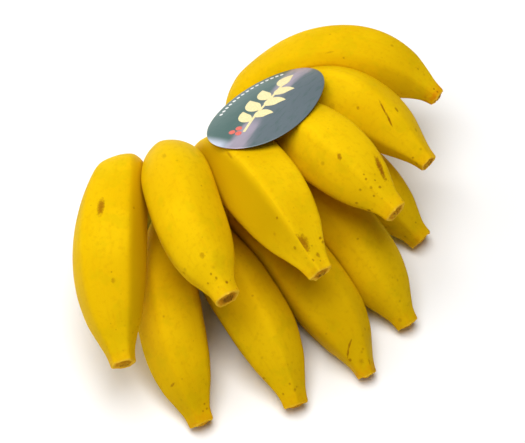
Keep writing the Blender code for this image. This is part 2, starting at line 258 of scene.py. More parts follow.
def ridge_factor(angle):
    """How far a five-ridged section stands out at an angle, ridges at multiples of 72 degrees."""
    faces = (np.arange(RIDGES) + 0.5) * 2 * math.pi / RIDGES
    reach = np.maximum(0, np.cos(np.asarray(angle)[..., None] - faces))
    full = np.sum(reach ** RIDGE_SHARPNESS, -1) ** (-1 / RIDGE_SHARPNESS)
    return 1 + RIDGE_HEIGHT * (full - RIDGE_LEVEL)


def finger_frame(finger, along):
    """Centres and the outward, sideways and forward directions of the rings at given lengths."""
    centre = line_point(finger, along)
    ahead = line_point(finger, np.minimum(along + DIRECTION_STEP, finger["length"]))
    behind = line_point(finger, along - DIRECTION_STEP)
    tangent = unit(ahead - behind)
    outward = unit(np.cross(tangent, finger["side"]))
    return centre, outward, np.cross(outward, tangent), tangent


def depth_in(finger, points):
    """Distance of points from a finger taken as round: below zero inside it."""
    flat = points.reshape(-1, 3)
    spine = finger["spine"]
    depth = np.empty(len(flat))
    for start in range(0, len(flat), POINTS_AT_ONCE):
        some = flat[start:start + POINTS_AT_ONCE]
        squared = (some ** 2).sum(1)[:, None] + (spine ** 2).sum(1) - 2 * some @ spine.T
        away = np.sqrt(np.maximum(squared, 0)) - finger["spine_radius"]
        depth[start:start + POINTS_AT_ONCE] = away.min(axis=1)
    return depth.reshape(points.shape[:-1])


def near_fingers(finger, grown):
    """The other fingers that come close enough to press on this one."""
    near = []
    for other in grown.values():
        gap = np.linalg.norm(finger["spine"][:, None] - other["spine"][None], axis=-1).min()
        if other is not finger and gap < NEIGHBOUR_REACH:
            near.append(other)
    return near


def is_clear(finger, others, points):
    """Whether points are nearer to this finger than to any other, and not below the table."""
    nearest = np.min([depth_in(other, points) for other in others], axis=0)
    return (depth_in(finger, points) + CONTACT_GAP <= nearest) & (points[..., 2] >= 0)


def pressed_radius(finger, others, centre, direction, free):
    """The radius along each ray where the finger meets its neighbours or the table halfway."""
    start = np.broadcast_to(centre[:, None, :], direction.shape)
    touching = ~is_clear(finger, others, start + (free + CONTACT_MARGIN)[..., None] * direction)
    start, way, wanted = start[touching], direction[touching], free[touching]
    low, high = CONTACT_LEAST * wanted, wanted + CONTACT_MARGIN
    for _ in range(CONTACT_HALVINGS):
        middle = (low + high) / 2
        clear = is_clear(finger, others, start + middle[:, None] * way)
        low, high = np.where(clear, middle, low), np.where(clear, high, middle)
    soft = CONTACT_SOFTNESS
    radius = free.copy()
    radius[touching] = -soft * np.logaddexp(-wanted / soft, -low / soft)
    return radius


def unevenness(finger, along, angle):
    """Slow waves over a skin, different on each finger, that fade out at both ends."""
    root, tip = finger["line"][0], finger["line"][-1]
    seed = float(root[0] * UNEVEN_ROOT_SHIFT + tip[0] * UNEVEN_TIP_SHIFT)
    share = along / finger["length"]
    total = np.zeros((len(along), len(angle)))
    for i, (waves, turns) in enumerate(UNEVEN_WAVES):
        phase = seed * (i + 1) * UNEVEN_PHASE
        total += np.sin(2 * math.pi * waves * share[:, None] + turns * angle[None, :] + phase)
    fade = np.sin(math.pi * np.clip(share, 0, 1)) ** 0.5
    return UNEVENNESS * fade[:, None] * total / len(UNEVEN_WAVES)


def skin_rings(finger, others):
    """Rings of points from the neck to the middle of the blossom scar, and how far each ring is
    from the blossom end, below zero inside the scar."""
    length = finger["length"]
    body = np.linspace(-ROOT_OVERLAP, length - FINE_TIP_LENGTH, SKIN_STATIONS, endpoint=False)
    tip_count = round(FINE_TIP_LENGTH / TIP_STATION_STEP)
    tip = length - FINE_TIP_LENGTH * (1 - np.linspace(0, 1, tip_count + 1)) ** TIP_CROWDING
    along = np.concatenate([body, tip])
    angle = np.linspace(0, 2 * math.pi, SIDES, endpoint=False)
    centre, outward, sideways, tangent = finger_frame(finger, along)
    turned = angle + finger["turn"]
    direction = (np.cos(turned)[None, :, None] * outward[:, None, :]
                 + np.sin(turned)[None, :, None] * sideways[:, None, :])
    angular = finger["edge"] * np.clip(along / ROUND_NECK_LENGTH, 0, 1) ** 2
    angular *= 1 + TIP_RIDGE_GAIN * np.exp((along - length) / TIP_RIDGE_REACH)
    free = radius_at(finger, along)[:, None] * (1 + angular[:, None] * (ridge_factor(angle) - 1))
    free += unevenness(finger, along, angle)
    radius = pressed_radius(finger, others, centre, direction, free)
    rings = list(centre[:, None, :] + radius[..., None] * direction)
    from_tip = list(length - along)
    rim = radius[-1] / SCAR_PROFILE[0][1]
    wave = sum(np.sin(n * angle + n * n * finger["turn"] + n) / n ** 0.5 for n in RIM_WAVES)
    wave *= RIM_WAVE_HEIGHT / 2
    rings[-1] = rings[-1] + wave[:, None] * tangent[-1]
    travelled = 0.0
    before = np.array([0.0, radius[-1].mean()])
    seed = float(finger["line"][-1][0])
    for step, (depth, width) in enumerate(SCAR_PROFILE):
        fade = width / SCAR_PROFILE[0][1]
        crumble = SCAR_CRUMBLE * math.sin(math.pi * fade) * min(step, 1)
        for waves, ring_shift, own_shift in CRUMBLE_WAVES:
            crumble = crumble * np.sin(waves * angle + ring_shift * step + own_shift * seed)
        radial = (RIM_INSET * width * rim + fade * wave / 2)[:, None] * direction[-1]
        rings.append(centre[-1] + radial + (fade * wave - depth + crumble)[:, None] * tangent[-1])
        here = np.array([depth, width])
        travelled += float(np.linalg.norm(here - before))
        before = here
        from_tip.append(-travelled)
    return rings, from_tip


def link_object(name, mesh, *materials):
    for material in materials:
        mesh.materials.append(material)
    thing = bpy.data.objects.new(name, mesh)
    bpy.context.scene.collection.objects.link(thing)
    return thing


def dress(thing, slot, *nodes):
    """The piece rides on the hand and may stand for solids, which it hides; the slot is not used."""
    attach(thing, "root")
    if nodes:
        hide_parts(*nodes)
    return thing


def skin_mesh(name, rings, from_tip):
    """A skin over the rings, closed at both ends, with its place around and along as a map."""
    count = len(rings[0])
    points = (np.concatenate(rings) + HAND_SHIFT) * MM
    faces = []
    places = []
    for r in range(len(rings) - 1):
        for i in range(count):
            j = (i + 1) % count
            faces.append((r * count + i, r * count + j, (r + 1) * count + j, (r + 1) * count + i))
            near, far = i / count, (i + 1) / count
            places += [(near, from_tip[r]), (far, from_tip[r])]
            places += [(far, from_tip[r + 1]), (near, from_tip[r + 1])]
    faces.append(tuple(reversed(range(count))))
    places += [(0.5, from_tip[0])] * count
    last = (len(rings) - 1) * count
    faces.append(tuple(last + i for i in range(count)))
    places += [(0.5, from_tip[-1])] * count
    mesh = bpy.data.meshes.new(name)
    mesh.from_pydata([tuple(p) for p in points], [], faces)
    layer = mesh.uv_layers.new(name="skin_map")
    layer.data.foreach_set("uv", np.array(places, float).ravel())
    mesh.shade_smooth()
    form = bmesh.new()
    form.from_mesh(mesh)
    bmesh.ops.recalc_face_normals(form, faces=form.faces)
    form.to_mesh(mesh)
    form.free()
    return mesh


# Which sockets of a Mix node carry colours
COLOUR_A = 6
COLOUR_B = 7
COLOUR_RESULT = 2


class Nodes:
    """A short way to write a material's nodes: each call makes one node and returns its output."""

    def __init__(self, material):
        self.tree = material.node_tree

    def make(self, kind, inputs=(), **settings):
        node = self.tree.nodes.new(kind)
        for key, value in settings.items():
            setattr(node, key, value)
        for key, value in dict(inputs).items():
            self.put(node.inputs[key], value)
        return node

    def put(self, socket, value):
        if isinstance(value, bpy.types.NodeSocket):
            self.tree.links.new(value, socket)
        else:
            socket.default_value = value

    def math(self, operation, a, b=0.0):
        return self.make("ShaderNodeMath", {0: a, 1: b}, operation=operation).outputs[0]

    def plus(self, a, b):
        return self.math('ADD', a, b)

    def minus(self, a, b):
        return self.math('SUBTRACT', a, b)

    def times(self, a, b):
        return self.math('MULTIPLY', a, b)

    def step(self, value, low, high):
        """Rises smoothly from 0 to 1 as value goes from low to high; falls where low is above high."""
        limits = {"Value": value, "From Min": low, "From Max": high}
        return self.make("ShaderNodeMapRange", limits, interpolation_type='SMOOTHSTEP').outputs["Result"]

    def mix(self, share, a, b):
        node = self.make("ShaderNodeMix", data_type='RGBA')
        self.put(node.inputs["Factor"], share)
        self.put(node.inputs[COLOUR_A], a)
        self.put(node.inputs[COLOUR_B], b)
        return node.outputs[COLOUR_RESULT]

    def noise(self, vector, scale, detail=3.0, roughness=0.5):
        settings = {"Vector": vector, "Scale": scale, "Detail": detail, "Roughness": roughness}
        return self.make("ShaderNodeTexNoise", settings).outputs["Fac"]

    def relief(self, height, strength, depth):
        """Normals for a fine relief, depth in millimetres."""
        settings = {"Height": height, "Strength": strength, "Distance": depth * MM}
        return self.make("ShaderNodeBump", settings).outputs["Normal"]

    def blend(self, *layers):
        """The largest of several masks."""
        total = layers[0]
        for layer in layers[1:]:
            total = self.math('MAXIMUM', total, layer)
        return total


    def fill(self, settings):
        """Puts each value or pattern on the surface's socket of that name."""
        surface = self.tree.nodes["Principled BSDF"]
        for name, value in settings.items():
            self.put(surface.inputs[name], value)


def new_material(name):
    material = bpy.data.materials.new(name)
    material.use_nodes = True
    return material, Nodes(material)


YELLOW_LIT = (0.82, 0.52, 0.003, 1)
YELLOW_DEEP = (0.75, 0.455, 0.002, 1)
YELLOW_ORANGE = (0.70, 0.37, 0.002, 1)
YELLOW_OLIVE = (0.60, 0.415, 0.002, 1)
NECK_GREEN = (0.56, 0.44, 0.012, 1)
CORK_PALE = (0.92, 0.55, 0.03, 1)
CORK_BROWN = (0.72, 0.33, 0.012, 1)
SCAR_DARK = (0.20, 0.075, 0.006, 1)
BLUSH_ORANGE = (0.72, 0.24, 0.004, 1)
FRECKLE_BROWN = (0.33, 0.125, 0.003, 1)
HIGHLIGHT_TINT = (1.0, 0.80, 0.12, 1)

# Tones that darken the yellows: painted shade over the lower row, which lies under the upper row, and
# the fine mottle's own tone
LOWER_ROW_SHADE = 0.89
MOTTLE_TONE = 0.9

# How fine the skins' patterns are: patches per metre, and the streaks' map round and along
BROAD_SCALE = 28.0
CLOUD_SCALE = 75.0
FINE_SCALE = 420.0
RAGGED_SCALE = 900.0
STREAK_AROUND = 46.0
STREAK_ALONG = 0.055

# The noise at which a pattern starts and is full, and how strong it then is
PATCHES = (0.35, 0.65)
CLOUDS = (0.50, 0.66, 0.35)
STREAKS = (0.50, 0.75, 0.3)
MOTTLE = (0.50, 0.72, 0.3)
BLUSH_PATCHES = (0.25, 0.6)
CRUMBS = (0.34, 0.52)
PALE_CRUMBS = (0.45, 0.65)

# Reaches in millimetres from the root or the blossom end: where a tint starts and where it is full
NECK_GREEN_REACH = (24.0, 4.0)
NECK_GREEN_SHARE = 0.75
BLUSH_REACH = (9.0, 0.5)
FRECKLED_REACH = (34.0, 6.0)
BLEMISH_END = (-0.2, 0.6)
RIM_REACH = (1.0, 0.0)
GROOVE_REACH = (-1.1, -2.0)
NUB_REACH = (-2.6, -3.8)
SCAR_MIDDLE_REACH = (-2.2, -4.4)
CORK_REACH = (1.2, -0.5)

# Facets painted darker than the rest of their finger as painted shade, where a side faces away from the
# light or towards a neighbour: the turn of their middle, and their tone
SHADED_FACETS = {"finger_u1": (0.1, 0.91), "finger_u3": (0.9, 0.81)}
SHADED_FACET_HALF_TURN = (0.125, 0.06)
SHADED_FACET_ROOT_REACH = (40.0, 60.0)
SHADED_FACET_TIP_REACH = (8.0, 34.0)

# Freckles: cells per metre, size, the share of cells that have one and how much it grows at the
# tip, and their strength
FRECKLES = ((200.0, 0.24, 0.03, 0.26, 0.8), (430.0, 0.30, 0.06, 0.34, 0.6))
FRECKLE_EDGE = (1.2, 0.1)

# Finish of the skins
SKIN_IOR = 1.2
SKIN_SPECULAR = 0.06
SKIN_ROUGHNESS = 0.40
FINE_ROUGHNESS = 0.10
CORK_ROUGHNESS = 0.28
SKIN_SCATTER = 0.12
SCATTER_REACH = (1.0, 0.55, 0.1)
SCATTER_DEPTH = 2.5
GRAIN_STRENGTH = 0.5
GRAIN_DEPTH = 0.18
FINE_GRAIN = 0.5
STREAK_GRAIN = 0.6
BLEMISH_DIP = 0.5
CORK_GRAIN = 2.5

# How soft the marks' edges are, and how far they and the scar's rim waver
MARK_EDGE = (1.7, 0.0)
EDGE_WOBBLE = 2.4


def mark_mask(nodes, turn, from_tip, wobble, mark):
    """Where one mark lies: a slanting oval on the skin's map, with a ragged edge."""
    place_turn, place_tip, half_width, half_length, slant, strength, round_mm = mark
    across = nodes.times(nodes.minus(turn, place_turn), round_mm)
    ahead = nodes.minus(from_tip, place_tip)
    c, s = math.cos(math.radians(slant)), math.sin(math.radians(slant))
    wide = nodes.plus(nodes.times(across, c / half_width), nodes.times(ahead, s / half_width))
    long = nodes.minus(nodes.times(ahead, c / half_length), nodes.times(across, s / half_length))
    squared = nodes.plus(nodes.times(wide, wide), nodes.times(long, long))
    ragged = nodes.plus(squared, wobble)
    return nodes.times(nodes.step(ragged, *MARK_EDGE), strength)


def toned(colour, tone):
    """A colour made darker by a share."""
    return tuple(tone * channel for channel in colour[:3]) + (1,)


def freckle_mask(nodes, spot, scale, size, chance):
    """Small spots of uneven size, in as many cells as the chance lets through."""
    cells = nodes.make("ShaderNodeTexVoronoi", {"Vector": spot, "Scale": scale})
    split = nodes.make("ShaderNodeSeparateColor", {"Color": cells.outputs["Color"]})
    spread = nodes.math('POWER', split.outputs["Green"], 3.0)
    reach = nodes.times(nodes.plus(spread, 0.4), size)
    uneven = nodes.plus(nodes.noise(spot, 5.0 * scale, 2.0), 0.5)
    share = nodes.math('DIVIDE', nodes.times(cells.outputs["Distance"], uneven), reach)
    there = nodes.math('LESS_THAN', split.outputs["Red"], chance)
    strong = nodes.plus(nodes.times(split.outputs["Blue"], 0.7), 0.3)
    return nodes.times(nodes.times(nodes.step(share, *FRECKLE_EDGE), there), strong)


def skin_yellow(nodes, spot, streak, fine, tone):
    """Lit and deeper patches of yellow, with olive clouds, orange streaks and a fine mottle."""
    broad = nodes.step(nodes.noise(spot, BROAD_SCALE, 2.0), *PATCHES)
    colour = nodes.mix(broad, toned(YELLOW_DEEP, tone), toned(YELLOW_LIT, tone))
    cloud = nodes.noise(spot, CLOUD_SCALE, 3.0, 0.6)
    layers = ((cloud, CLOUDS, YELLOW_OLIVE, tone), (streak, STREAKS, YELLOW_ORANGE, tone),
              (fine, MOTTLE, YELLOW_ORANGE, MOTTLE_TONE * tone))
    for pattern, (low, high, strength), tint, tint_tone in layers:
        mask = nodes.times(nodes.step(pattern, low, high), strength)
        colour = nodes.mix(mask, colour, toned(tint, tint_tone))
    return colour


def painted_facet_shade(nodes, colour, turn, from_root, from_tip, facet, tone):
    """The colour, darker on one facet between the neck and the tip, as painted shade."""
    facet_turn, facet_shade = facet
    aside = nodes.math('ABSOLUTE', nodes.minus(turn, facet_turn))
    mask = nodes.times(nodes.step(aside, *SHADED_FACET_HALF_TURN), nodes.step(from_root, *SHADED_FACET_ROOT_REACH))
    mask = nodes.times(mask, nodes.step(from_tip, *SHADED_FACET_TIP_REACH))
    return nodes.mix(mask, colour, toned(YELLOW_DEEP, facet_shade * tone))


def blemishes(nodes, spot, turn, from_tip, wobble, marks):
    """Where the skin is brown: freckles, more of them near the tip, and the finger's own marks."""
    masks = [mark_mask(nodes, turn, from_tip, wobble, mark) for mark in marks]
    near_tip = nodes.step(from_tip, *FRECKLED_REACH)
    for scale, size, anywhere, at_tip, strength in FRECKLES:
        chance = nodes.plus(nodes.times(near_tip, at_tip), anywhere)
        masks.append(nodes.times(freckle_mask(nodes, spot, scale, size, chance), strength))
    return nodes.times(nodes.blend(*masks), nodes.step(from_tip, *BLEMISH_END))


def scar_colour(nodes, colour, from_tip, ragged_tip, ragged, fine, shade):
    """The skin's colour with a pale corky rim, a brown groove and a crumbly nub over it."""
    colour = nodes.mix(nodes.step(ragged_tip, *RIM_REACH), colour, CORK_PALE)
    colour = nodes.mix(nodes.step(ragged_tip, *GROOVE_REACH), colour, CORK_BROWN)
    crumbs = nodes.mix(nodes.step(ragged, *CRUMBS), SCAR_DARK, CORK_BROWN)
    crumbs = nodes.mix(nodes.times(nodes.step(fine, *PALE_CRUMBS), 1 - shade), crumbs, CORK_PALE)
    colour = nodes.mix(nodes.step(from_tip, *NUB_REACH), colour, crumbs)
    middle = nodes.times(nodes.step(ragged_tip, *SCAR_MIDDLE_REACH), shade)
    return nodes.mix(middle, colour, SCAR_DARK)


def skin_material(name, finger, marks, tone, shade, blush, facet):
    """Ripe skin: warm yellow with faint streaks, greenish neck, freckles, marks and a corky scar."""
    material, nodes = new_material(name)
    place = nodes.make("ShaderNodeUVMap", uv_map="skin_map").outputs["UV"]
    split = nodes.make("ShaderNodeSeparateXYZ", {"Vector": place})
    turn, from_tip = split.outputs["X"], split.outputs["Y"]
    spot = nodes.make("ShaderNodeTexCoord").outputs["Object"]
    from_root = nodes.minus(finger["length"], from_tip)

    fine = nodes.noise(spot, FINE_SCALE, 3.0)
    ragged = nodes.noise(spot, RAGGED_SCALE, 3.0, 0.6)
    unrolled = {"X": nodes.times(turn, STREAK_AROUND), "Y": nodes.times(from_tip, STREAK_ALONG)}
    along = nodes.make("ShaderNodeCombineXYZ", unrolled).outputs["Vector"]
    streak = nodes.noise(along, 1.0, 3.0, 0.6)
    wobble = nodes.times(nodes.minus(ragged, 0.5), EDGE_WOBBLE)
    ragged_tip = nodes.plus(from_tip, nodes.times(wobble, 0.5))

    colour = skin_yellow(nodes, spot, streak, fine, tone)
    # One facet's yellows are darkened here as painted shade.
    if facet is not None:
        colour = painted_facet_shade(nodes, colour, turn, from_root, from_tip, facet, tone)
    warm = nodes.times(nodes.step(from_tip, *BLUSH_REACH), blush)
    warm = nodes.times(warm, nodes.step(fine, *BLUSH_PATCHES))
    colour = nodes.mix(warm, colour, BLUSH_ORANGE)
    green = nodes.times(nodes.step(from_root, *NECK_GREEN_REACH), NECK_GREEN_SHARE)
    colour = nodes.mix(green, colour, NECK_GREEN)
    blemish = blemishes(nodes, spot, turn, from_tip, wobble, marks)
    colour = nodes.mix(blemish, colour, FRECKLE_BROWN)
    colour = scar_colour(nodes, colour, from_tip, ragged_tip, ragged, fine, shade)

    corky = nodes.blend(blemish, nodes.step(ragged_tip, *RIM_REACH))
    rough = nodes.plus(SKIN_ROUGHNESS, nodes.times(fine, FINE_ROUGHNESS))
    rough = nodes.plus(rough, nodes.times(corky, CORK_ROUGHNESS))
    grain = nodes.plus(nodes.times(fine, FINE_GRAIN), nodes.times(streak, STREAK_GRAIN))
    grain = nodes.minus(grain, nodes.times(blemish, BLEMISH_DIP))
    cork = nodes.times(ragged, nodes.step(from_tip, *CORK_REACH))
    height = nodes.plus(grain, nodes.times(cork, CORK_GRAIN))
    nodes.fill({
        "Base Color": colour, "Roughness": rough, "IOR": SKIN_IOR,
        "Specular IOR Level": SKIN_SPECULAR, "Specular Tint": HIGHLIGHT_TINT,
        "Subsurface Weight": SKIN_SCATTER, "Subsurface Radius": SCATTER_REACH,
        "Subsurface Scale": SCATTER_DEPTH * MM,
        "Normal": nodes.relief(height, GRAIN_STRENGTH, GRAIN_DEPTH),
    })
    return material


def marks_on(name, finger):
    """The marks of one finger, each with the distance round the finger where it lies."""
    marks = []
    for place_turn, place_tip, half_width, half_length, slant, strength in MARKS.get(name, ()):
        round_mm = 2 * math.pi * float(radius_at(finger, np.array(finger["length"] - place_tip)))
        marks.append((place_turn, place_tip, half_width, half_length, slant, strength, round_mm))
    return marks


def build_skins(grown):
    """One skin per finger, with its own material."""
    for name, finger in grown.items():
        rings, from_tip = skin_rings(finger, near_fingers(finger, grown))
        # The lower row's yellows are darkened as painted shade.
        tone = LOWER_ROW_SHADE if name.startswith("finger_l") else 1.0
        shade = SCAR_SHADES.get(name, USUAL_SCAR_SHADE)
        blush = BLUSHES.get(name, USUAL_BLUSH)
        material = skin_material(name + "_skin", finger, marks_on(name, finger), tone, shade, blush,
                                 SHADED_FACETS.get(name))
        piece = "skin_" + name.split("_")[1]
        dress(link_object(piece, skin_mesh(piece, rings, from_tip), material), "banana_skin", name)


# The crown: its cut face along a bent line, its layers as height and inset, and the necks' collars
CROWN_LINE = ((-46, 65), (-25, 62.5), (0, 62), (18, 63), (31, 67))
CROWN_HALF_WIDTH = 9.0
CROWN_POINTS = 40
CROWN_END_STEPS = 13
CROWN_LAYERS = ((0.0, 1.2), (0.7, 0.3), (1.6, 0.0), (3.4, 0.1), (4.8, 1.0), (6.0, 3.0))
COLLAR_REACH = (-6.5, 16.0)
COLLAR_STATIONS = 24
COLLAR_SIDES = 28
COLLAR_SWELL = ((-6.5, 0.4), (0.0, 0.35), (6.0, 0.25), (11.0, 0.0), (16.0, -0.7))
COLLAR_LOWEST = 0.6
CROWN_VOXEL = 0.6
CROWN_SMOOTHING = 14

# How far up the cut face's points lie after smoothing, and how far they are set back down
CUT_FACE_REACH = 0.5
CUT_FACE_DROP = 0.15


def crown_pad():
    """Rings of the pad from its cut face up."""
    x = np.linspace(CROWN_LINE[0][0], CROWN_LINE[-1][0], CROWN_POINTS)
    middle = np.stack([x, smooth_curve(CROWN_LINE, x)], -1)
    along = unit(np.gradient(middle, axis=0))
    across = np.stack([-along[:, 1], along[:, 0]], -1)
    turns = np.radians(np.linspace(90, -90, CROWN_END_STEPS)[1:-1])[:, None]
    rings = []
    for height, inset in CROWN_LAYERS:
        half = CROWN_HALF_WIDTH - inset
        far = middle[-1] + half * (np.cos(turns) * along[-1] + np.sin(turns) * across[-1])
        near = middle[0] - half * (np.cos(turns) * along[0] + np.sin(turns) * across[0])
        ring = np.concatenate([middle + half * across, far, (middle - half * across)[::-1], near])
        rings.append(np.column_stack([ring, np.full(len(ring), height)]))
    return rings


def collar(finger):
    """Rings of the collar round a finger's neck, which fades into the skin at its top."""
    along = np.linspace(*COLLAR_REACH, COLLAR_STATIONS)
    angle = np.linspace(0, 2 * math.pi, COLLAR_SIDES, endpoint=False)
    centre, outward, sideways, _ = finger_frame(finger, along)
    radius = radius_at(finger, np.maximum(along, 0)) + smooth_curve(COLLAR_SWELL, along)
    direction = (np.cos(angle)[None, :, None] * outward[:, None, :]
                 + np.sin(angle)[None, :, None] * sideways[:, None, :])
    points = centre[:, None, :] + radius[:, None, None] * direction
    points[..., 2] = np.maximum(points[..., 2], COLLAR_LOWEST)
    return list(points)


def add_rings(form, rings):
    """Adds a closed capped body over equal rings, in millimetres, to a bmesh."""
    loops = [[form.verts.new(tuple((point + HAND_SHIFT) * MM)) for point in ring] for ring in rings]
    count = len(loops[0])
    for lower, upper in zip(loops, loops[1:]):
        for i in range(count):
            j = (i + 1) % count
            form.faces.new((lower[i], lower[j], upper[j], upper[i]))
    form.faces.new(loops[0])
    form.faces.new(list(reversed(loops[-1])))


def build_crown(grown):
    """The pad and the collars melted into one smooth body."""
    form = bmesh.new()
    add_rings(form, crown_pad())
    for finger in grown.values():
        add_rings(form, collar(finger))
    bmesh.ops.recalc_face_normals(form, faces=form.faces)
    rough = bpy.data.meshes.new("crown_rough")
    form.to_mesh(rough)
    form.free()
    guide = link_object("crown_guide", rough)
    melt = guide.modifiers.new("melt", 'REMESH')
    melt.mode = 'VOXEL'
    melt.voxel_size = CROWN_VOXEL * MM
    soften = guide.modifiers.new("soften", 'SMOOTH')
    soften.factor = 0.5
    soften.iterations = CROWN_SMOOTHING
    bpy.context.view_layer.update()
    shown = guide.evaluated_get(bpy.context.evaluated_depsgraph_get())
    mesh = bpy.data.meshes.new_from_object(shown)
    mesh.name = "crown_flesh"
    bpy.data.objects.remove(guide, do_unlink=True)
    for vertex in mesh.vertices:
        if vertex.co.z < CUT_FACE_REACH * MM:
            vertex.co.z = max(vertex.co.z - CUT_FACE_DROP * MM, 0.0)
    mesh.shade_smooth()
    mesh.materials.clear()
    dress(link_object("crown_flesh", mesh, crown_material()), "crown_flesh", "crown")


CUT_TAN = (0.42, 0.27, 0.10, 1)
CUT_DARK = (0.07, 0.04, 0.02, 1)
CROWN_OLIVE = (0.30, 0.27, 0.045, 1)

# The crown's patterns: patches per metre, how far they shift its bands of colour, and the heights
# in millimetres where each band starts and is full
PATCH_SCALE = 90.0
PATCH_SHIFT = 5.0
FIBRE_SCALE = 700.0
PORE_SCALE = 900.0
PORES = (0.32, 0.12, 0.7)
FIBRES = (0.55, 0.75, 0.35)
CUT_PATCHES = (0.4, 0.62)
GREEN_HEIGHTS = (3.0, 10.0)
YELLOW_HEIGHTS = (9.0, 24.0)
DRY_EDGE_HEIGHTS = (1.2, 3.4)
CUT_HEIGHTS = (0.15, 0.6)
CROWN_SPECULAR = 0.25
CROWN_ROUGHNESS = 0.55
FIBRE_ROUGHNESS = 0.3
PORE_RELIEF = 0.5
CROWN_RELIEF_STRENGTH = 0.6
CROWN_RELIEF_DEPTH = 0.4


def crown_material():
    """Dry cut tissue below with pores and a dark edge, then olive skin, then the necks' green."""
    material, nodes = new_material("crown_flesh")
    spot = nodes.make("ShaderNodeTexCoord").outputs["Object"]
    split = nodes.make("ShaderNodeSeparateXYZ", {"Vector": spot})
    height = nodes.math('DIVIDE', split.outputs["Z"], MM)
    patches = nodes.noise(spot, PATCH_SCALE, 4.0, 0.6)
    fibre = nodes.noise(spot, FIBRE_SCALE, 4.0, 0.65)
    cells = nodes.make("ShaderNodeTexVoronoi", {"Vector": spot, "Scale": PORE_SCALE})
    pores = cells.outputs["Distance"]
    raised = nodes.plus(height, nodes.times(nodes.minus(patches, 0.5), PATCH_SHIFT))
    skin = nodes.mix(nodes.step(raised, *GREEN_HEIGHTS), CROWN_OLIVE, NECK_GREEN)
    skin = nodes.mix(nodes.step(raised, *YELLOW_HEIGHTS), skin, YELLOW_DEEP)
    low, high, strength = FIBRES
    skin = nodes.mix(nodes.times(nodes.step(fibre, low, high), strength), skin, FRECKLE_BROWN)
    edge = nodes.mix(nodes.step(raised, *DRY_EDGE_HEIGHTS), CUT_DARK, skin)
    cut = nodes.mix(nodes.step(patches, *CUT_PATCHES), CUT_TAN, CUT_DARK)
    low, high, strength = PORES
    cut = nodes.mix(nodes.times(nodes.step(pores, low, high), strength), cut, CUT_DARK)
    grain = nodes.plus(fibre, nodes.times(pores, PORE_RELIEF))
    nodes.fill({
        "Base Color": nodes.mix(nodes.step(height, *CUT_HEIGHTS), cut, edge),
        "Roughness": nodes.plus(CROWN_ROUGHNESS, nodes.times(fibre, FIBRE_ROUGHNESS)),
        "Specular IOR Level": CROWN_SPECULAR,
        "Normal": nodes.relief(grain, CROWN_RELIEF_STRENGTH, CROWN_RELIEF_DEPTH),
    })
    return material


# The label: sizes in millimetres and how it lies in degrees, as in the part
LABEL_HALF_LENGTH = 38.5
LABEL_HALF_WIDTH = 25.5
LABEL_MIDDLE = (21.3, 37.3, 78.1)
LABEL_HEADING = 14.5
LABEL_LONG_DIP = 7.5
LABEL_SHORT_DIP = 25.0
LABEL_END_BEND = 2.0
LABEL_SIDE_BEND = 3.7
LABEL_FAR_BEND = 1.4
LABEL_TWIST = 1.7

# The foil and the print on it, and how finely the foil is drawn
FOIL_THICKNESS = 0.25
FOIL_RINGS = 60
FOIL_SPOKES = 240
PRINT_HEIGHT = 0.06

# The print in millimetres from the label's middle: a stem, leaves that grow from it (base, way,
# length, half width), berries and a row of dots along the upper edge
STEM = ((-24.0, -4.0), (-10.0, -1.5), (4.0, -0.5), (17.0, 1.5))
STEM_HALF_WIDTH = 0.7
LEAVES = (
    (-15.0, -2.2, 60, 11.0, 3.2), (-12.0, -1.7, -48, 10.0, 3.0), (-5.5, -1.0, 62, 13.0, 3.8),
    (-2.0, -0.8, -44, 11.5, 3.4), (4.5, -0.3, 58, 12.0, 3.5), (8.0, 0.0, -40, 11.0, 3.2),
    (16.0, 1.3, 8, 13.0, 3.4),
)
LEAF_STEPS = 14
LEAF_BEND = 1.6
LEAF_WIDEST = 0.8
LEAF_ROUNDNESS = 0.9
LEAF_LEAST = 0.04
BERRIES = ((-26.0, -2.0), (-22.5, 0.3), (-26.3, 1.9))
BERRY_RADIUS = 1.7
EDGE_DOTS = 15
EDGE_SHARE = 0.86
EDGE_FROM = 30.0
EDGE_TO = 112.0
EDGE_DOT_RADIUS = 1.0
DISC_SIDES = 24
PRINT_PALE = (0.92, 0.80, 0.42, 1)
PRINT_CORAL = (0.80, 0.17, 0.13, 1)
PRINT_WHITE = (0.90, 0.90, 0.88, 1)
INK_THIN_TONE = 0.86
INK_SCALE = 1500.0
INK_COVER = (0.35, 0.65)
INK_ROUGHNESS = 0.42
INK_SPECULAR = 0.3


def label_point(across, up, lift=0.0):
    """A point of the label, for shares of its half length and half width, lifted off its underside."""
    heading, dip = math.radians(LABEL_HEADING), math.radians(LABEL_LONG_DIP)
    level = math.cos(dip)
    long_way = np.array([math.cos(heading) * level, math.sin(heading) * level, -math.sin(dip)])
    lean = math.radians(LABEL_SHORT_DIP)
    facing = unit(np.cross(long_way, (0.0, math.cos(lean), -math.sin(lean))))
    short_way = np.cross(facing, long_way)
    sag = (LABEL_END_BEND * across ** 2 + LABEL_SIDE_BEND * up ** 2
           + LABEL_FAR_BEND * across ** 3 + LABEL_TWIST * across * up)
    return (np.array(LABEL_MIDDLE) + HAND_SHIFT + LABEL_HALF_LENGTH * across * long_way
            + LABEL_HALF_WIDTH * up * short_way + (lift - sag) * facing)


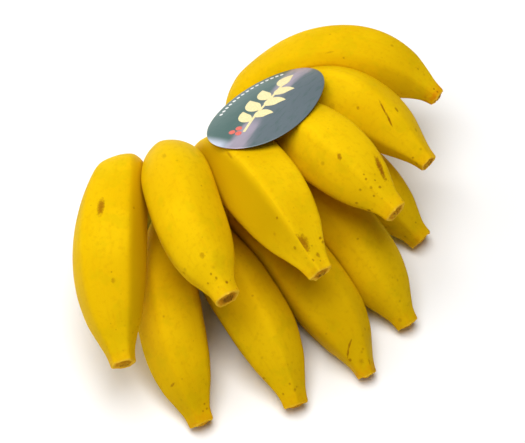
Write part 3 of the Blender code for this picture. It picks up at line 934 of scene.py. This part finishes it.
def build_foil():
    """A thin oval sheet, with its place across and up as a map."""
    form = bmesh.new()
    layer = form.loops.layers.uv.new("label_map")
    grid = [[(0.0, 0.0)] * FOIL_SPOKES]
    for ring in range(1, FOIL_RINGS + 1):
        share = ring / FOIL_RINGS
        turns = [2 * math.pi * i / FOIL_SPOKES for i in range(FOIL_SPOKES)]
        grid.append([(share * math.cos(a), share * math.sin(a)) for a in turns])
    hub = form.verts.new(tuple(label_point(0.0, 0.0) * MM))
    verts = [[hub] * FOIL_SPOKES]
    for ring in grid[1:]:
        verts.append([form.verts.new(tuple(label_point(a, u) * MM)) for a, u in ring])
    for r in range(1, len(grid)):
        for i in range(FOIL_SPOKES):
            j = (i + 1) % FOIL_SPOKES
            corners = [(r - 1, i), (r, i), (r, j), (r - 1, j)]
            if r == 1:
                corners = [(0, i), (1, i), (1, j)]
            face = form.faces.new([verts[a][b] for a, b in corners])
            for loop, (a, b) in zip(face.loops, corners):
                loop[layer].uv = grid[a][b]
    mesh = bpy.data.meshes.new("label_foil")
    form.to_mesh(mesh)
    form.free()
    mesh.shade_smooth()
    foil = link_object("label_foil", mesh, foil_material())
    sheet = foil.modifiers.new("sheet", 'SOLIDIFY')
    sheet.thickness = FOIL_THICKNESS * MM
    sheet.offset = 1.0
    dress(foil, "label_foil", "label")


FOIL_GREEN = (0.085, 0.165, 0.150, 1)
FOIL_BLUE = (0.165, 0.210, 0.235, 1)
# Colours of painted reflections on the foil: lilac sheen and a pale gleam
LILAC_SHEEN = (0.48, 0.41, 0.50, 1)
FOIL_GLEAM = (0.75, 0.80, 0.95, 1)
FOIL_METAL = 0.35
FOIL_ROUGHNESS = 0.30
CLOUD_ROUGHNESS = 0.15
CRINKLE_SCALE = 5.0
CRINKLE_STRENGTH = 0.35
CRINKLE_DEPTH = 0.6

# The foil's colours by the share of its half width above or half length beside the middle: where
# the green starts and is full, the painted lilac sheen band's two edges, its gap in the middle and the
# painted gleam at the left end
FOIL_SQUEEZE = 3.2
FOIL_SLOPE = -0.22
FOIL_CLOUD_SCALE = 1.4
FOIL_DRIFT = 0.5
FOIL_STREAK_SCALE = 4.5
FOIL_STREAKS = (0.50, 0.68, 0.5)
GREEN_LEVELS = (-0.10, 0.30)
SHEEN_LOWER_EDGE = (-0.34, -0.12)
SHEEN_UPPER_EDGE = (0.18, -0.04)
SHEEN_GAP_MIDDLE = -0.05
SHEEN_GAP = (0.12, 0.5)
SHEEN_STRENGTH = 0.9
GLEAM_ACROSS = (-0.80, -0.97)
GLEAM_UP = (-0.25, 0.1)
GLEAM_STRENGTH = 0.85


def foil_material():
    """Grey metallised film: dark green above, bluish below, with painted reflections: lilac sheen bands
    between and a pale gleam at the left end.
    """
    material, nodes = new_material("label_foil")
    place = nodes.make("ShaderNodeUVMap", uv_map="label_map").outputs["UV"]
    split = nodes.make("ShaderNodeSeparateXYZ", {"Vector": place})
    across, up = split.outputs["X"], split.outputs["Y"]
    squeezed = nodes.make("ShaderNodeMapping", {"Vector": place, "Scale": (1.0, FOIL_SQUEEZE, 1.0)})
    cloud = nodes.noise(squeezed.outputs["Vector"], FOIL_CLOUD_SCALE, 3.0)
    streak = nodes.noise(squeezed.outputs["Vector"], FOIL_STREAK_SCALE, 4.0, 0.6)
    drift = nodes.times(nodes.minus(cloud, 0.5), FOIL_DRIFT)
    level = nodes.plus(nodes.plus(up, drift), nodes.times(across, FOIL_SLOPE))
    colour = nodes.mix(nodes.step(level, *GREEN_LEVELS), FOIL_BLUE, FOIL_GREEN)
    low, high, strength = FOIL_STREAKS
    colour = nodes.mix(nodes.times(nodes.step(streak, low, high), strength), colour, FOIL_GREEN)
    # Painted reflections: a lilac sheen band with a gap in the middle, and a pale gleam at the left end.
    band = nodes.times(nodes.step(level, *SHEEN_LOWER_EDGE), nodes.step(level, *SHEEN_UPPER_EDGE))
    aside = nodes.math('ABSOLUTE', nodes.minus(across, SHEEN_GAP_MIDDLE))
    lilac_sheen = nodes.times(nodes.times(band, nodes.step(aside, *SHEEN_GAP)), SHEEN_STRENGTH)
    colour = nodes.mix(lilac_sheen, colour, LILAC_SHEEN)
    gleam = nodes.times(nodes.step(across, *GLEAM_ACROSS), nodes.step(up, *GLEAM_UP))
    crinkle = nodes.noise(place, CRINKLE_SCALE, 4.0, 0.55)
    nodes.fill({
        "Base Color": nodes.mix(nodes.times(gleam, GLEAM_STRENGTH), colour, FOIL_GLEAM),
        "Metallic": FOIL_METAL,
        "Roughness": nodes.plus(FOIL_ROUGHNESS, nodes.times(cloud, CLOUD_ROUGHNESS)),
        "Normal": nodes.relief(crinkle, CRINKLE_STRENGTH, CRINKLE_DEPTH),
    })
    return material


def print_point(x, y):
    """A point just on the foil, for millimetres from the label's middle."""
    return label_point(x / LABEL_HALF_LENGTH, y / LABEL_HALF_WIDTH, FOIL_THICKNESS)


def add_strip(form, middle, half_widths):
    """A flat strip along a line on the label, as wide as it says at each point."""
    middle = np.array(middle, float)
    way = unit(np.gradient(middle, axis=0))
    side = np.stack([-way[:, 1], way[:, 0]], -1)
    rows = []
    for point, aside, half in zip(middle, side, half_widths):
        row = [point - half * aside, point, point + half * aside]
        rows.append([form.verts.new(tuple(print_point(x, y) * MM)) for x, y in row])
    for near, far in zip(rows, rows[1:]):
        for i in range(2):
            form.faces.new((near[i], near[i + 1], far[i + 1], far[i]))


def add_disc(form, x, y, radius):
    """A flat disc on the label."""
    hub = form.verts.new(tuple(print_point(x, y) * MM))
    turns = [2 * math.pi * i / DISC_SIDES for i in range(DISC_SIDES)]
    ring = [print_point(x + radius * math.cos(a), y + radius * math.sin(a)) for a in turns]
    rim = [form.verts.new(tuple(point * MM)) for point in ring]
    for i in range(DISC_SIDES):
        form.faces.new((hub, rim[i], rim[(i + 1) % DISC_SIDES]))


def leaf_line(x, y, way, length):
    """The middle line of a leaf that bends a little, and how its width swells and tapers."""
    t = np.linspace(0, 1, LEAF_STEPS)
    a = math.radians(way)
    ahead, aside = np.array([math.cos(a), math.sin(a)]), np.array([-math.sin(a), math.cos(a)])
    line = np.array([x, y]) + length * t[:, None] * ahead
    line += LEAF_BEND * np.sin(math.pi * t)[:, None] * aside
    return line, np.sin(math.pi * t ** LEAF_WIDEST) ** LEAF_ROUNDNESS + LEAF_LEAST


def finish_print(name, form, colour):
    """The printed shapes as one thin raised piece."""
    bmesh.ops.recalc_face_normals(form, faces=form.faces)
    mesh = bpy.data.meshes.new(name)
    form.to_mesh(mesh)
    form.free()
    ink = link_object(name, mesh, print_material(name, colour))
    sheet = ink.modifiers.new("sheet", 'SOLIDIFY')
    sheet.thickness = 2 * PRINT_HEIGHT * MM
    sheet.offset = 0.0
    dress(ink, "label_foil")


def build_print():
    """A leafy sprig with berries, and a row of dots along the label's upper edge."""
    sprig = bmesh.new()
    knot_share = np.linspace(0, 1, len(STEM))
    share = np.linspace(0, 1, LEAF_STEPS)
    stem = np.stack([smooth_curve(list(zip(knot_share, side)), share) for side in zip(*STEM)], -1)
    add_strip(sprig, stem, np.full(LEAF_STEPS, STEM_HALF_WIDTH))
    for x, y, way, length, half_width in LEAVES:
        line, swell = leaf_line(x, y, way, length)
        add_strip(sprig, line, half_width * swell)
    finish_print("label_sprig", sprig, PRINT_PALE)
    berries = bmesh.new()
    for x, y in BERRIES:
        add_disc(berries, x, y, BERRY_RADIUS)
    finish_print("label_berries", berries, PRINT_CORAL)
    dots = bmesh.new()
    for turn in np.radians(np.linspace(EDGE_FROM, EDGE_TO, EDGE_DOTS)):
        x = EDGE_SHARE * LABEL_HALF_LENGTH * math.cos(turn)
        y = EDGE_SHARE * LABEL_HALF_WIDTH * math.sin(turn)
        add_disc(dots, x, y, EDGE_DOT_RADIUS)
    finish_print("label_dots", dots, PRINT_WHITE)


def print_material(name, colour):
    """Printing ink: flat colour with slightly uneven cover."""
    material, nodes = new_material(name)
    spot = nodes.make("ShaderNodeTexCoord").outputs["Object"]
    cover = nodes.step(nodes.noise(spot, INK_SCALE, 2.0), *INK_COVER)
    nodes.fill({
        "Base Color": nodes.mix(cover, toned(colour, INK_THIN_TONE), colour),
        "Roughness": INK_ROUGHNESS, "Specular IOR Level": INK_SPECULAR,
    })
    return material


# Lights: name, place in metres, size in metres and power in watts
LIGHTS = (
    ("key", (-0.10, 0.12, 1.33), 1.2, 20.0),
    ("back", (0.05, 1.20, 0.50), 0.8, 3.2),
    ("side", (-1.10, 0.20, 0.75), 0.7, 2.6),
)
SURROUND_WHITE = (1.0, 1.0, 1.0, 1)
SURROUND_STRENGTH = 0.10

# The floor: its finish, half its width and how far it lies below the hand, in metres
FLOOR_COLOUR = (0.96, 0.96, 0.96, 1)
FLOOR_ROUGHNESS = 0.9
FLOOR_SPECULAR = 0.1
FLOOR_REACH = 3.0
FLOOR_DROP = 0.0002


def build_lights():
    """A large soft light overhead, weaker ones low at the back and the left, and a faint surround."""
    world = bpy.data.worlds.new("surround")
    world.use_nodes = True
    backdrop = world.node_tree.nodes["Background"]
    backdrop.inputs["Color"].default_value = SURROUND_WHITE
    backdrop.inputs["Strength"].default_value = SURROUND_STRENGTH
    bpy.context.scene.world = world
    for name, place, size, power in LIGHTS:
        light = bpy.data.lights.new(name, 'AREA')
        light.shape = 'DISK'
        light.size = size
        light.energy = power
        lamp = bpy.data.objects.new(name, light)
        lamp.location = place
        towards = Vector(CAMERA_TARGET) - Vector(place)
        lamp.rotation_euler = towards.to_track_quat('-Z', 'Y').to_euler()
        bpy.context.scene.collection.objects.link(lamp)


def build_stage():
    """A wide pale floor."""
    form = bmesh.new()
    bmesh.ops.create_grid(form, x_segments=1, y_segments=1, size=FLOOR_REACH)
    mesh = bpy.data.meshes.new("floor")
    form.to_mesh(mesh)
    form.free()
    material, nodes = new_material("floor")
    nodes.fill({"Base Color": FLOOR_COLOUR, "Roughness": FLOOR_ROUGHNESS,
                "Specular IOR Level": FLOOR_SPECULAR})
    floor = link_object("floor", mesh, material)
    floor.location.z = -FLOOR_DROP


def build_camera():
    """The photo's view: from the left front and above, through a long lens."""
    azimuth, elevation = math.radians(CAMERA_AZIMUTH), math.radians(CAMERA_ELEVATION)
    level = math.cos(elevation)
    back = Vector((math.sin(azimuth) * level, -math.cos(azimuth) * level, math.sin(elevation)))
    camera = bpy.data.cameras.new("camera")
    camera.sensor_width = SENSOR_WIDTH
    camera.lens = LENS
    seat = bpy.data.objects.new("camera", camera)
    seat.location = Vector(CAMERA_TARGET) + Vector(HAND_SHIFT * MM) + CAMERA_DISTANCE * back
    seat.rotation_euler = (-back).to_track_quat('-Z', 'Y').to_euler()
    bpy.context.scene.collection.objects.link(seat)
    bpy.context.scene.camera = seat


def main():
    grown = {name: grow_finger(*habit) for name, habit in FINGERS.items()}
    build_skins(grown)
    build_crown(grown)
    build_foil()
    build_print()
    build_stage()
    build_camera()
    build_lights()
    bpy.context.scene.view_settings.view_transform = 'Standard'


main()
